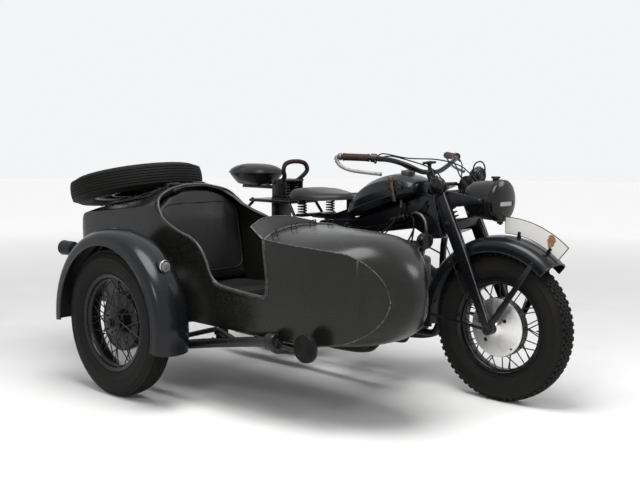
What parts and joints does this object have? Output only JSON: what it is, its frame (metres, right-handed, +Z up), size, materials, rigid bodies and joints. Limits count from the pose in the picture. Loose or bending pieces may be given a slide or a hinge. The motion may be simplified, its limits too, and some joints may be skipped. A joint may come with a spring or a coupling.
{
  "type": "sidecar motorcycle",
  "caption": "Flat-twin motorcycle of the 1930s kind with a girder fork and a fixed sidecar on its right, a spare wheel lying on the sidecar's boot lid.",
  "frame": {"origin": "on the ground, under the middle of the whole outfit's bounding box", "axes": "+X forward, +Y to the rider's left, +Z up"},
  "size_m": [2.3932, 1.6447, 1.0881],
  "materials": {
    "black_paint": "satin",
    "frame_paint": "satin",
    "rubber": "matte",
    "leather": "satin",
    "alloy": "brushed",
    "engine_black": "matte",
    "plate_white": "satin",
    "grip_rubber": "matte"
  },
  "bodies": {
    "fork": {"fork": "black_paint", "fork_spring": "frame_paint", "handlebar": "frame_paint", "grip_left": "grip_rubber", "grip_right": "grip_rubber", "headlamp": "frame_paint", "horn": "frame_paint", "front_mudguard": "black_paint", "front_plate": "plate_white", "front_brake_plate": "alloy"},
    "front_wheel": {"front_tyre": "rubber", "front_wheel": "frame_paint"},
    "rear_wheel": {"rear_tyre": "rubber", "rear_wheel": "frame_paint"},
    "sidecar_wheel": {"sidecar_tyre": "rubber", "sidecar_wheel": "frame_paint"},
    "boot_lid": {"boot_lid": "black_paint", "spare_mount": "frame_paint", "spare_tyre": "rubber", "spare_wheel": "frame_paint"},
    "frame": {"backbone": "frame_paint", "cradle_left": "frame_paint", "cradle_right": "frame_paint", "crankcase": "engine_black", "gearbox": "engine_black", "cylinder_left": "engine_black", "cylinder_right": "engine_black", "exhaust_left": "frame_paint", "exhaust_right": "frame_paint", "air_filter": "engine_black", "fuel_tank": "black_paint", "saddle": "leather", "saddle_springs": "frame_paint", "pillion_seat": "leather", "rear_mudguard": "black_paint", "carrier": "frame_paint", "final_drive": "engine_black", "rear_brake_plate": "frame_paint", "sidecar_brake_plate": "frame_paint", "seat_cushion": "leather", "seat_back": "leather", "footrests": "rubber", "sidecar_chassis": "frame_paint", "sidecar_tub": "black_paint", "sidecar_mudguard": "black_paint"}
  },
  "joints": [
    {"name": "steering", "type": "hinge", "parent": "frame", "child": "fork", "pos_m": [0.4912, 0.4006, 0.9], "axis": [-0.4305, 0, 0.9026], "range_deg": [-35, 35]},
    {"name": "front_wheel_spin", "type": "hinge", "parent": "fork", "child": "front_wheel", "pos_m": [0.8662, 0.4006, 0.3304], "axis": [0, 1, 0], "continuous": true},
    {"name": "rear_wheel_spin", "type": "hinge", "parent": "frame", "child": "rear_wheel", "pos_m": [-0.5388, 0.4006, 0.3304], "axis": [0, 1, 0], "continuous": true},
    {"name": "sidecar_wheel_spin", "type": "hinge", "parent": "frame", "child": "sidecar_wheel", "pos_m": [-0.4128, -0.7364, 0.3304], "axis": [0, 1, 0], "continuous": true},
    {"name": "boot_lid_hinge", "type": "hinge", "parent": "frame", "child": "boot_lid", "pos_m": [-0.4908, -0.2894, 0.932], "axis": [0, 1, 0], "range_deg": [0, 60]}
  ]
}
